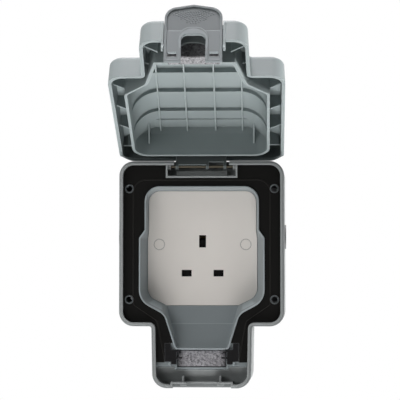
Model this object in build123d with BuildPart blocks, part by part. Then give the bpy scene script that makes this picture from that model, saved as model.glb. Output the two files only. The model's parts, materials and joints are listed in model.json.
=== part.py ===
from build123d import *
from math import cos, hypot, radians, sin
import os

# Outdoor socket box for a wall: X to the right, Z up, the wall at Y = 0 and the front towards -Y.
# Heights are distances off the wall, in millimetres. The origin lies on the wall behind the plate's centre.

# Box
box_width = 113.4
box_top = 57.0
shoulder_z = -56.4
box_bottom = -98.7
neck_top_width = 69.0
neck_foot_width = 67.4
corner_radius = 10.0
step_radius = 1.8
least_radius = 0.3
box_depth = 50.0
box_draft = 1.3
wall = 2.6
back_wall = 3.0
rim_step_width = 1.1
rim_step_depth = 1.2
knockout_radius = 10.0
knockout_x = 22.0
knockout_z = -34.0
groove = 0.8

# Wall fixings and plate fixings
fixing_inset = 6.7
fixing_pitch_x = box_width - 2 * fixing_inset
fixing_pitch_z = 76.4
fixing_hole_radius = 2.25
collar_radius = 2.9
collar_lift = 0.3
post_radius = 4.0
post_rib = 2.4
plate_pitch = 60.3
pillar_radius = 4.5
insert_radius = 2.5
insert_length = 9.0
insert_bore = 1.85
screw_radius = 1.75
screw_head_radius = 3.2
screw_head_height = 1.6
screw_slot = 0.9
screw_tip_height = 12.0

# Clearances
fit_gap = 0.25
slide_gap = 0.4
swing_gap = 0.3
pin_press_gap = 0.03
pin_running_gap = 0.08

# Front frame, well and gasket
deck_height = box_depth - 5.0
deck_thickness = 2.0
gasket_thickness = 1.5
well_rim_lift = 0.9
well_wall = 1.6
well_rim_wall = 0.9
plate_height = 32.0
plate_thickness = 4.0
ledge_thickness = 2.0
well_floor = [(37.6, 37.4, 8.0), (37.6, 9.6, 2.0), (38.3, 4.2, 2.0), (38.3, -36.0, 9.0),
              (24.6, -42.6, 6.0), (16.4, box_bottom + 29.1, 1.5)]
well_mouth = [(box_width / 2 - 18.3, 38.9, 9.4), (box_width / 2 - 18.3, 9.7, 3.0),
              (box_width / 2 - 14.4, 4.2, 3.0), (box_width / 2 - 14.4, -39.1, 12.6),
              (25.0, -48.4, 9.0), (17.5, box_bottom + 27.4, 2.0)]
chute_fold_z = -54.9
chute_fold_height = box_depth - 13.8
chute_foot_z = box_bottom + 26.9
chute_foot_height = box_depth - 5.2
deck_foot_z = box_bottom + 14.7
gasket_foot_z = box_bottom + 17.5
bead_width = 0.9
bead_lift = 0.3
bead_insets = [(9.1, 12.3, 9.0), (9.1, 14.8, 3.0), (3.5, 3.5, 4.0), (8.3, 15.7, 1.0)]

# Foam and its clips
tray_half_width = 17.0
tray_top_z = box_bottom + 26.1
tray_foot_z = box_bottom + 14.1
tray_floor_height = box_depth - 14.0
tray_wall = 1.4
foam_height = box_depth - 6.1
clip_outer_x = 25.4
clip_top_z = box_bottom + 30.5
clip_foot_z = box_bottom + 16.1
clip_lip = 1.0
clip_wall = 1.6
peg_x = 22.0
peg_width = 1.4
peg_length = 2.3
peg_lift = 0.7
clip_step_x = 21.4

# Foot of the box, with the latch notch and the way out for a lead
floor_top_z = deck_foot_z - 0.3
floor_top_height = box_depth - 7.0
floor_foot_height = box_depth - 12.0
floor_wall = 2.2
notch_half_width = 20.0
notch_depth = 3.0
notch_height = box_depth - 16.0
notch_wall = 1.2
outlet_half_width = 10.7
outlet_depth = 6.0
outlet_radius = 5.0
catch_x = 12.8
catch_out = -9.4
catch_width = 4.2
catch_thick = 1.6
catch_lift = 2.0
rib_thick = 1.2
rib_rise = 3.8

# Hinge
pin_height = box_depth - 6.0
pin_z = box_top - 3.5
pin_radius = 1.1
pocket_half_width = 23.4
pocket_foot_z = box_top - 10.1
pocket_wall = 1.2
pocket_floor_height = box_depth - 14.0
pocket_rim_height = box_depth - 1.0
boss_radius = 2.6
boss_length = 1.9
knuckle_radius = 2.6
knuckle_notch_half_width = 19.0
knuckle_notch_back = 5.4
knuckle_web = 1.1
knuckle_arms = [(-17.9, -16.1), (3.0, 4.8), (15.1, 16.9)]
web_reach_left = 5.8
web_reach_right = 3.6
bar_half_width = 17.5
bar_thick = 3.0
bar_lift = 5.0

# Lid, drawn closed on the box and swung open about the pin
open_angle = 114.35
lid_edge = 16.0
lid_draft = 0.7
lid_wall = 2.2
lid_rounding = 2.5
skirt_reach = 3.0
skirt_wall = 1.8
skirt_insets = [(10.8, 14.3, 10.0), (10.8, 17.4, 3.5), (3.0, 4.4, 8.0), (9.2, 21.2, 1.5)]
crown_insets = [(13.7, 16.8, 10.0), (13.7, 58.4, 3.5), (4.5, 30.4, 8.0), (10.7, 42.7, 1.5)]
dome_wall = 2.0
arch_half_width = box_width / 2 - 11.7
arch_radius = 18.0
terraces = [(44.0, 19.5), (20.6, 22.0), (-0.6, 24.8), (-20.7, 28.5), (-40.8, 31.8)]
rib_xs = [-28.2, -9.8, 9.8, 28.2]
ceiling_rib = 1.0
ceiling_rib_depth = 4.0
gusset_thick = 1.2
gusset_zs = [17.0, -9.0, -36.0]
neck_gusset_zs = [-62.0, -82.0]
gusset_rise_outer = 7.0
gusset_rise_inner = 2.0
corner_gusset_angle = 35.0
corner_blade_x = 36.0
corner_blade_foot = 6.0
ceiling_fold_z = 31.2
ceiling_pad = 0.8

# Latch and the lid's end that carries it
latch_half_width = 17.8
latch_thick = 2.0
latch_skin = 0.1
latch_foot = -14.4
latch_shoulder = 23.4
latch_shoulder_radius = 8.0
latch_apex = 26.4
latch_apex_radius = 6.0
latch_border = 1.4
latch_dish = 0.8
latch_crease = 7.8
latch_arch_half_width = 7.5
latch_arch_top = 4.9
latch_arch_radius = 4.0
latch_arch_rim = 1.6
latch_arch_brow = 10.0
slot_width = 5.2
slot_height = 2.8
pivot_out = -3.5
pivot_z = box_bottom + 1.3
pivot_radius = 1.0
cheek_inner_x = 18.3
cheek_outer_x = 19.7
cheek_reach = 5.8
cheek_top_z = box_bottom + 2.6
recess_z = box_bottom + 7.2
lid_arch_half_width = 10.0
lid_arch_top = 3.7
lid_arch_radius = 8.0
lid_foam_half_width = 16.6
lid_foam_top_z = box_bottom + 19.5
lid_foam_reach = 5.5

# Socket insert
pin_pitch = 22.23
earth_z = 2.2
line_aperture = (7.0, 4.6)
earth_aperture = (4.8, 8.6)
cap_radius = 3.6
cap_thick = 1.0
cap_gap = 0.1
screw_seat = 1.2
body_half_width = 25.0
body_top_z = 17.6
body_foot_z = -34.4
body_back_height = 10.0
body_rounding = 3.0
body_screw_x = 19.0
body_screw_z = 9.0
body_screw_radius = 1.4
body_screw_head = 2.6
body_screw_bite = 2.0
shutter_thick = 1.8
shutter_half_width = 15.5
shutter_bar_top = -16.6
shutter_bar_foot = -23.6
shutter_stem_half = 4.5
shutter_top_z = 15.0
shutter_window_half = 2.9
shutter_window = (4.4, 13.2)
shutter_travel = 6.5
shutter_ramp = 1.2
spring_radius = 0.85
spring_wire = 0.2
spring_foot_z = -32.4
spring_turns = 4
contact_strip = 0.8
contact_gap = 3.8
contact_half_width = 3.2
contact_mouth_gap = 2.4
contact_base_height = 13.0
terminal_half = (3.6, 4.0)
terminal_back_height = 5.0
wire_hole_radius = 1.7
wire_hole_height = 8.2
terminal_screw_radius = 1.5
terminal_screw_head = 2.3
terminal_head_height = 0.9

# Blanking plugs in the side walls
entry_z = 5.3
entry_height = 25.0
entry_radius = 6.6
entry_pad_radius = 9.2
entry_pad_x = box_width / 2 + 0.5
plug_head_radius = 8.4
plug_head = 0.6
plug_reach = 5.6
plug_wall = 1.6
plug_slot = 1.4
plug_slot_depth = 0.3
seal_thick = 0.5

# Sizes that follow from the ones above
deck_bottom = deck_height - deck_thickness
gasket_height = deck_height + gasket_thickness
well_rim_height = gasket_height + well_rim_lift
ledge_height = plate_height - plate_thickness
ledge_bottom = ledge_height - ledge_thickness
line_z = earth_z - pin_pitch
line_x = pin_pitch / 2
recess_wall_z = recess_z + dome_wall
peg_foot_z = deck_foot_z + peg_lift
notch_z = box_bottom + notch_depth
lid_rim = swing_gap
shelf = lid_edge - lid_wall
dome_top = terraces[-1][1] + dome_wall


def box_plan(height):
    """Plane parallel to the wall: local x and y are X and Z."""
    return Plane.XZ.offset(height)


def box_side(x):
    """Plane across the box: local x and y are Z and the height off the wall."""
    return Plane(origin=(x, 0, 0), x_dir=(0, 0, 1), z_dir=(1, 0, 0))


def box_level(z):
    """Level plane that extrudes downwards: local x and y are X and the height off the wall."""
    return Plane(origin=(0, 0, z), x_dir=(1, 0, 0), z_dir=(0, 0, -1))


def lid_point(x, z, out):
    """A point of the closed lid, out from the box's rim, swung open about the pin."""
    rise = z - pin_z
    reach = box_depth + out - pin_height
    turn = radians(open_angle)
    y = -pin_height + rise * sin(turn) - reach * cos(turn)
    return (x, y, pin_z + rise * cos(turn) + reach * sin(turn))


def lid_plan(out):
    """Plane parallel to the lid: local x and y are X and the closed lid's Z."""
    turn = radians(open_angle)
    return Plane(origin=lid_point(0, 0, out), x_dir=(1, 0, 0), z_dir=(0, -cos(turn), sin(turn)))


def lid_side(x):
    """Plane across the lid: local x and y are the closed lid's Z and the way out from the rim."""
    turn = radians(open_angle)
    return Plane(origin=lid_point(x, 0, 0), x_dir=(0, sin(turn), cos(turn)), z_dir=(1, 0, 0))


def lid_level(z):
    """Plane across the lid that extrudes to its narrow end: local x and y are X and the way out."""
    turn = radians(open_angle)
    return Plane(origin=lid_point(0, z, 0), x_dir=(1, 0, 0), z_dir=(0, -sin(turn), -cos(turn)))


def lid_corner(x, z, angle):
    """Upright plane through a point of the lid, turned towards its corner: local x leads outwards."""
    turn = radians(open_angle)
    side = 1 if x > 0 else -1
    along = sin(radians(angle))
    return Plane(origin=lid_point(x, z, 0), z_dir=(along, -side * cos(radians(angle)) * sin(turn),
                                                   -side * cos(radians(angle)) * cos(turn)),
                 x_dir=(side * cos(radians(angle)), along * sin(turn), along * cos(turn)))


def outline(plane, right_side):
    """Face from the corners of its right half, each (x, y, radius), mirrored to the left."""
    corners = right_side + [(-x, y, radius) for x, y, radius in reversed(right_side) if x > 0]
    with BuildSketch(plane) as face:
        with BuildLine():
            FilletPolyline([(x, y) for x, y, _ in corners], radius=[radius for _, _, radius in corners],
                           close=True)
        make_face()
    return face.sketch


def ring(plane, outer, inner):
    """Face between two mirrored outlines."""
    with BuildSketch(plane) as face:
        add(outline(Plane.XY, outer))
        add(outline(Plane.XY, inner), mode=Mode.SUBTRACT)
    return face.sketch


def panel(plane, x_range, y_range):
    """Rectangle on a plane between two pairs of limits."""
    with BuildSketch(plane) as face:
        with Locations(((x_range[0] + x_range[1]) / 2, (y_range[0] + y_range[1]) / 2)):
            Rectangle(abs(x_range[1] - x_range[0]), abs(y_range[1] - y_range[0]))
    return face.sketch


def polygon(plane, *points):
    """Straight-sided face on a plane."""
    with BuildSketch(plane) as face:
        with BuildLine():
            Polyline(*points, close=True)
        make_face()
    return face.sketch


def box_corners(inset):
    """Right half of the stepped outline, moved inwards."""
    half = box_width / 2 - inset
    rounding = corner_radius - inset
    hollow = max(step_radius + inset, least_radius)
    return [(half, box_top - inset, rounding), (half, shoulder_z + inset, rounding),
            (neck_top_width / 2 - inset, shoulder_z + inset, hollow),
            (neck_foot_width / 2 - inset, box_bottom + inset, rounding)]


def inside_box(insets):
    """Right half of an outline from its insets at the box's four corners, each (across, along, radius)."""
    corners = [(box_width / 2, box_top, -1), (box_width / 2, shoulder_z, 1),
               (neck_top_width / 2, shoulder_z, 1), (neck_foot_width / 2, box_bottom, 1)]
    return [(x - across, z + way * along, radius)
            for (x, z, way), (across, along, radius) in zip(corners, insets)]


def box_growth(height):
    """How far the drafted box stands outside its rim outline at a height."""
    return box_draft * (1 - height / box_depth)


def shifted(corners, inset):
    """Right half of an outline with a level top and foot, moved inwards."""
    top = corners[0]
    foot = corners[-1]
    middle = [(x - inset, y, radius) for x, y, radius in corners[1:-1]]
    return [(top[0] - inset, top[1] - inset, max(top[2] - inset, least_radius))] + middle + [
        (foot[0] - inset, foot[1] + inset, foot[2])]


def well_corners(height, inset=0.0):
    """Right half of the well's outline at a height, between its floor and its mouth."""
    share = max(0.0, (height - plate_height) / (well_rim_height - plate_height))
    level = [tuple(low + share * (high - low) for low, high in zip(floor, mouth))
             for floor, mouth in zip(well_floor, well_mouth)]
    return shifted(level, inset)


def well_outside(height, gap=0.0):
    """Right half of the outside of the well's wall, which thins towards the mouth, grown by a gap."""
    share = max(0.0, (height - plate_height) / (well_rim_height - plate_height))
    return well_corners(height, -well_wall - share * (well_rim_wall - well_wall) - gap)


def dome_hull(inset):
    """The dome without its terraces: an upright skirt below the shelf and a narrower crown above it."""
    skirt = shifted(inside_box(skirt_insets), inset)
    crown = shifted(inside_box(crown_insets), inset)
    with BuildPart() as hull:
        extrude(outline(lid_plan(-skirt_reach), skirt), amount=skirt_reach + shelf)
        loft(sections=[outline(lid_plan(shelf), skirt), outline(lid_plan(dome_top), crown)], ruled=True)
    return hull.part


# Sloping floor at the foot of the box, which sheds water towards the outlet, cut round the foam's tray
neck_half = neck_foot_width / 2 - wall / 2
tray_half = tray_half_width + tray_wall + fit_gap
with BuildPart() as foot_floor:
    extrude(polygon(box_side(-neck_half), (floor_top_z, floor_top_height),
                    (box_bottom + wall / 2, floor_foot_height),
                    (box_bottom + wall / 2, floor_foot_height - floor_wall),
                    (floor_top_z, floor_top_height - floor_wall)),
            amount=2 * neck_half)
    extrude(outline(box_plan(0), box_corners(wall / 2)), amount=box_depth, mode=Mode.INTERSECT)
    extrude(panel(box_plan(tray_floor_height - tray_wall - fit_gap), (-tray_half, tray_half),
                  (tray_foot_z - tray_wall - fit_gap, floor_top_z)),
            amount=box_depth - tray_floor_height, mode=Mode.SUBTRACT)

# Back box: drafted shell with hinge pocket, posts, pillars, latch notch and catches
with BuildPart() as back_box:
    loft(sections=[outline(box_plan(0), box_corners(-box_draft)),
                   outline(box_plan(box_depth), box_corners(0))], ruled=True)
    loft(sections=[outline(box_plan(back_wall), box_corners(wall - box_growth(back_wall))),
                   outline(box_plan(box_depth), box_corners(wall))], ruled=True, mode=Mode.SUBTRACT)
    extrude(ring(box_plan(box_depth), box_corners(-box_draft), box_corners(rim_step_width)),
            amount=-rim_step_depth, mode=Mode.SUBTRACT)
    # Posts that carry the deck and take the wall screws, each tied to the side wall by a rib
    with BuildSketch(box_plan(back_wall)) as posts:
        with GridLocations(fixing_pitch_x, fixing_pitch_z, 2, 2):
            Circle(post_radius)
        for side in (-1, 1):
            rib_end = box_width / 2 - wall / 2
            with Locations((side * (fixing_pitch_x / 2 + rib_end) / 2, 0)):
                with GridLocations(1, fixing_pitch_z, 1, 2):
                    Rectangle(rib_end - fixing_pitch_x / 2, post_rib)
    extrude(amount=deck_bottom - back_wall)
    with BuildSketch(box_plan(0)) as post_holes:
        with GridLocations(fixing_pitch_x, fixing_pitch_z, 2, 2):
            Circle(fixing_hole_radius)
    extrude(amount=deck_bottom, mode=Mode.SUBTRACT)
    # Pillars with bores for the brass inserts
    with BuildSketch(box_plan(back_wall)) as pillars:
        with GridLocations(plate_pitch, 1, 2, 1):
            Circle(pillar_radius)
    extrude(amount=ledge_bottom - back_wall)
    with BuildSketch(box_plan(ledge_bottom)) as pillar_bores:
        with GridLocations(plate_pitch, 1, 2, 1):
            Circle(insert_radius)
    extrude(amount=-insert_length, mode=Mode.SUBTRACT)
    with BuildSketch(box_plan(ledge_bottom - insert_length)) as screw_bores:
        with GridLocations(plate_pitch, 1, 2, 1):
            Circle(insert_bore)
    extrude(amount=screw_tip_height - fit_gap - (ledge_bottom - insert_length), mode=Mode.SUBTRACT)
    # Knock-out rings in the back
    with BuildSketch(box_plan(0)) as knockouts:
        with GridLocations(2 * knockout_x, 1, 2, 1):
            with Locations((0, knockout_z)):
                Circle(knockout_radius)
                Circle(knockout_radius - groove, mode=Mode.SUBTRACT)
    extrude(amount=groove, mode=Mode.SUBTRACT)
    # Hinge pocket behind the top wall, with the bosses that hold the pin
    pocket_outer = pocket_half_width + pocket_wall
    extrude(panel(box_plan(pocket_floor_height - wall), (-pocket_outer, pocket_outer),
                  (pocket_foot_z - pocket_wall, box_top - wall / 2)),
            amount=pocket_rim_height - pocket_floor_height + wall)
    extrude(panel(box_plan(pocket_floor_height), (-pocket_half_width, pocket_half_width),
                  (pocket_foot_z, box_top - wall)),
            amount=box_depth - pocket_floor_height, mode=Mode.SUBTRACT)
    extrude(panel(box_plan(pin_height - knuckle_notch_back),
                  (-knuckle_notch_half_width, knuckle_notch_half_width),
                  (box_top - wall - fit_gap, box_top + wall)),
            amount=box_depth - pin_height + knuckle_notch_back, mode=Mode.SUBTRACT)
    extrude(panel(box_plan(pocket_floor_height), (-bar_half_width, bar_half_width),
                  (pin_z - knuckle_radius - swing_gap - bar_thick, pin_z - knuckle_radius - swing_gap)),
            amount=bar_lift)
    for side in (-1, 1):
        with BuildSketch(box_side(side * (pocket_half_width - boss_length))) as boss:
            with Locations((pin_z, pin_height)):
                Circle(boss_radius)
        extrude(amount=side * boss_length)
    with BuildSketch(box_side(-pocket_outer + pocket_wall / 4)) as pin_bore:
        with Locations((pin_z, pin_height)):
            Circle(pin_radius + pin_press_gap)
    extrude(amount=2 * pocket_outer - pocket_wall / 2, mode=Mode.SUBTRACT)
    add(foot_floor.part)
    # Latch notch in the bottom wall, backed by a raised pad, with the outlet for a lead cut through it
    pad_half = notch_half_width + notch_wall
    extrude(panel(box_level(notch_z + notch_wall), (-pad_half, pad_half),
                  (notch_height - notch_wall, box_depth)),
            amount=notch_depth)
    extrude(panel(box_level(notch_z), (-notch_half_width, notch_half_width), (notch_height, box_depth)),
            amount=2 * notch_depth, mode=Mode.SUBTRACT)
    extrude(outline(box_level(notch_z + notch_wall),
                    [(outlet_half_width, box_depth + wall, 0),
                     (outlet_half_width, box_depth - outlet_depth, outlet_radius)]),
            amount=2 * notch_depth + notch_wall, mode=Mode.SUBTRACT)
    # Catches for the latch, and the two ribs behind them
    with BuildSketch(box_level(notch_z)) as catches:
        with GridLocations(2 * catch_x, 1, 2, 1):
            with Locations((0, box_depth + catch_out)):
                Rectangle(catch_width, catch_thick)
    extrude(amount=catch_lift)
    with BuildSketch(box_level(notch_z + notch_wall + rib_rise)) as catch_ribs:
        with GridLocations(2 * catch_x, 1, 2, 1):
            with Locations((0, (box_depth + floor_foot_height) / 2 - rib_thick)):
                Rectangle(rib_thick, box_depth - floor_foot_height - 2 * rib_thick)
    extrude(amount=rib_rise + notch_wall / 2)
    # Flat pads and holes for the cable entries
    for side in (-1, 1):
        entry_plane = Plane(origin=(side * (box_width / 2 - wall / 2), -entry_height, entry_z),
                            z_dir=(side, 0, 0))
        with BuildSketch(entry_plane) as entry_pad:
            Circle(entry_pad_radius)
        extrude(amount=entry_pad_x - (box_width / 2 - wall / 2))
        extrude(entry_pad.sketch.moved(Location((side * (entry_pad_x - box_width / 2 + wall / 2), 0, 0))),
                amount=wall, dir=(side, 0, 0), mode=Mode.SUBTRACT)
        with BuildSketch(entry_plane.offset(-wall)) as entry_hole:
            Circle(entry_radius)
        extrude(amount=3 * wall, mode=Mode.SUBTRACT)
back_box.part.label = "back_box"

# Space inside the well, from the plate's seat to the mouth, with the chute's slope left standing
with BuildPart() as well_space:
    extrude(outline(box_plan(ledge_height), well_corners(plate_height)), amount=plate_thickness)
    loft(sections=[outline(box_plan(plate_height), well_corners(plate_height)),
                   outline(box_plan(well_rim_height), well_corners(well_rim_height))], ruled=True)
    chute_top_z = well_floor[4][1]
    extrude(polygon(box_side(-box_width / 2), (chute_top_z, 0), (chute_top_z, plate_height),
                    (chute_fold_z, chute_fold_height), (chute_foot_z, chute_foot_height),
                    (box_bottom, chute_foot_height), (box_bottom, 0)),
            amount=box_width, mode=Mode.SUBTRACT)

# Front frame: deck, well walls, ledge for the plate, chute and foam tray
deck_inset = wall + fit_gap - box_growth(deck_height) * 0.5
with BuildPart() as front_frame:
    extrude(outline(box_plan(deck_bottom), box_corners(deck_inset)), amount=deck_thickness)
    extrude(panel(box_plan(deck_bottom), (-box_width, box_width), (deck_foot_z, 2 * box_bottom)),
            amount=deck_thickness, mode=Mode.SUBTRACT)
    loft(sections=[outline(box_plan(ledge_bottom), well_outside(plate_height)),
                   outline(box_plan(plate_height), well_outside(plate_height))], ruled=True)
    loft(sections=[outline(box_plan(plate_height), well_outside(plate_height)),
                   outline(box_plan(well_rim_height), well_outside(well_rim_height))], ruled=True)
    with BuildSketch(box_plan(deck_bottom)) as collars:
        with GridLocations(fixing_pitch_x, fixing_pitch_z, 2, 2):
            Circle(collar_radius)
    extrude(amount=gasket_height + collar_lift - deck_bottom)
    extrude(polygon(box_side(-box_width / 2), (chute_top_z - ledge_thickness, 0),
                    (chute_top_z - ledge_thickness, plate_height - ledge_thickness),
                    (chute_fold_z, chute_fold_height - ledge_thickness),
                    (chute_foot_z, chute_foot_height - ledge_thickness),
                    (tray_top_z - tray_wall, deck_bottom), (2 * box_bottom, deck_bottom),
                    (2 * box_bottom, 0)),
            amount=box_width, mode=Mode.SUBTRACT)
    extrude(panel(box_plan(tray_floor_height - tray_wall),
                  (-tray_half_width - tray_wall, tray_half_width + tray_wall),
                  (tray_foot_z - tray_wall, tray_top_z + tray_wall)),
            amount=deck_height - tray_floor_height + tray_wall)
    add(well_space.part, mode=Mode.SUBTRACT)
    extrude(panel(box_plan(tray_floor_height), (-tray_half_width, tray_half_width),
                  (tray_foot_z, tray_top_z)),
            amount=box_depth - tray_floor_height, mode=Mode.SUBTRACT)
    extrude(panel(box_plan(foam_height), (-tray_half_width, tray_half_width),
                  (tray_foot_z + tray_wall, 2 * box_bottom)),
            amount=box_depth - foam_height, mode=Mode.SUBTRACT)
    # Room for the hinge pocket, the socket body and the screws
    extrude(panel(box_plan(deck_bottom), (-pocket_outer - fit_gap, pocket_outer + fit_gap),
                  (pocket_foot_z - pocket_wall - fit_gap, box_top)),
            amount=deck_thickness, mode=Mode.SUBTRACT)
    extrude(panel(box_plan(ledge_bottom), (-body_half_width - fit_gap, body_half_width + fit_gap),
                  (body_foot_z - fit_gap, body_top_z + fit_gap)),
            amount=ledge_thickness, mode=Mode.SUBTRACT)
    with BuildSketch(box_plan(ledge_bottom)) as ledge_holes:
        with GridLocations(plate_pitch, 1, 2, 1):
            Circle(insert_bore)
    extrude(amount=ledge_thickness, mode=Mode.SUBTRACT)
    with BuildSketch(box_plan(deck_bottom)) as deck_holes:
        with GridLocations(fixing_pitch_x, fixing_pitch_z, 2, 2):
            Circle(fixing_hole_radius)
    extrude(amount=box_depth - deck_bottom, mode=Mode.SUBTRACT)
    for side in (-1, 1):
        extrude(panel(box_plan(deck_height), (side * peg_x - peg_width / 2, side * peg_x + peg_width / 2),
                      (peg_foot_z, peg_foot_z + peg_length)),
                amount=clip_wall)
front_frame.part.label = "front_frame"

# Gasket: rubber sheet round the well, with a bead that the lid's skirt lands inside
with BuildPart() as gasket:
    extrude(outline(box_plan(deck_height), box_corners(deck_inset)), amount=gasket_thickness)
    bead = inside_box(bead_insets)
    extrude(ring(box_plan(gasket_height), bead, shifted(bead, bead_width)), amount=bead_lift)
    extrude(panel(box_plan(deck_height), (-box_width, box_width), (gasket_foot_z, 2 * box_bottom)),
            amount=box_depth, mode=Mode.SUBTRACT)
    loft(sections=[outline(box_plan(deck_height), well_outside(deck_height, fit_gap)),
                   outline(box_plan(well_rim_height), well_outside(well_rim_height, fit_gap))],
         ruled=True, mode=Mode.SUBTRACT)
    extrude(panel(box_plan(deck_height), (-clip_outer_x - fit_gap, clip_outer_x + fit_gap),
                  (clip_top_z + fit_gap, 2 * box_bottom)),
            amount=box_depth, mode=Mode.SUBTRACT)
    extrude(panel(box_plan(deck_height), (-pocket_outer - fit_gap, pocket_outer + fit_gap),
                  (pocket_foot_z - pocket_wall - fit_gap, box_top)),
            amount=box_depth, mode=Mode.SUBTRACT)
    with BuildSketch(box_plan(deck_height)) as gasket_holes:
        with GridLocations(fixing_pitch_x, fixing_pitch_z, 2, 2):
            Circle(collar_radius + fit_gap)
    extrude(amount=box_depth, mode=Mode.SUBTRACT)
gasket.part.label = "gasket"

# Foam block in the tray
with BuildPart() as base_foam:
    extrude(panel(box_plan(tray_floor_height), (-tray_half_width + fit_gap, tray_half_width - fit_gap),
                  (tray_foot_z + fit_gap, tray_top_z - fit_gap)),
            amount=foam_height - tray_floor_height)
base_foam.part.label = "base_foam"


def foam_clip(side):
    """Clip beside the foam: a plate on the deck, cut round its peg, with two tongues over the foam."""
    inner = side * (tray_half_width - clip_lip)
    edge = side * (tray_half_width + fit_gap)
    outer = side * clip_outer_x
    well_foot_z = well_mouth[-1][1] - well_rim_wall - fit_gap
    with BuildPart() as clip:
        extrude(panel(box_plan(deck_height), (edge, outer), (clip_foot_z, well_foot_z)), amount=clip_wall)
        extrude(panel(box_plan(deck_height), (side * clip_step_x, outer), (well_foot_z, clip_top_z)),
                amount=clip_wall)
        for foot in (well_foot_z - clip_wall, lid_foam_top_z + swing_gap):
            extrude(panel(box_plan(deck_height), (inner, edge), (foot, foot + clip_wall)), amount=clip_wall)
        extrude(panel(box_plan(deck_height), (side * (peg_x - peg_width / 2 - fit_gap), 2 * outer),
                      (peg_foot_z, peg_foot_z + peg_length + fit_gap)),
                amount=clip_wall, mode=Mode.SUBTRACT)
    return clip.part


foam_holder_left = foam_clip(-1)
foam_holder_left.label = "foam_holder_left"
foam_holder_right = foam_clip(1)
foam_holder_right.label = "foam_holder_right"

# Hinge pin
with BuildPart() as hinge_pin:
    with BuildSketch(box_side(-pocket_outer + pocket_wall / 2)):
        with Locations((pin_z, pin_height)):
            Circle(pin_radius)
    extrude(amount=2 * pocket_outer - pocket_wall)
hinge_pin.part.label = "hinge_pin"


def stepped_arch(extra):
    """Terraced hollow of the dome, grown outwards: one arch for each terrace, from its step to the end."""
    half = arch_half_width + extra
    with BuildPart() as arches:
        for step_z, rise in terraces:
            extrude(outline(lid_level(step_z + extra),
                            [(half, rise + extra, arch_radius + extra), (half, -2 * skirt_reach, 0)]),
                    amount=step_z + extra - box_bottom)
    return arches.part


# Solid dome, and the hollow that is taken out of it
with BuildPart() as dome:
    add(dome_hull(-skirt_wall / 2))
    add(stepped_arch(dome_wall), mode=Mode.INTERSECT)
with BuildPart() as dome_space:
    add(dome_hull(skirt_wall / 2))
    add(stepped_arch(0), mode=Mode.INTERSECT)

# Thin ribs along the ceiling, a pad by the hinge and a blade at each end of it, cut to the dome's outside
ceiling_low = terraces[0][1]
rib_top = ceiling_low - ceiling_rib_depth
rib_end = terraces[-1][1] - ceiling_rib_depth
skirt_corners = inside_box(skirt_insets)
with BuildPart() as ceiling_ribs:
    for x in rib_xs:
        extrude(polygon(lid_side(x - ceiling_rib / 2), (box_top, rib_top), (terraces[0][0], rib_top),
                        (terraces[-1][0], rib_end), (box_bottom, rib_end), (box_bottom, dome_top),
                        (box_top, dome_top)),
                amount=ceiling_rib)
    extrude(panel(lid_plan(ceiling_low - ceiling_pad), (-corner_blade_x, corner_blade_x),
                  (ceiling_fold_z, box_top)),
            amount=dome_top)
    for side in (-1, 1):
        extrude(polygon(lid_side(side * corner_blade_x - ceiling_rib / 2),
                        (box_top, corner_blade_foot), (skirt_corners[0][1] - skirt_wall, corner_blade_foot),
                        (ceiling_fold_z, ceiling_low), (ceiling_fold_z, dome_top), (box_top, dome_top)),
                amount=ceiling_rib)
    add(dome.part, mode=Mode.INTERSECT)

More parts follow.
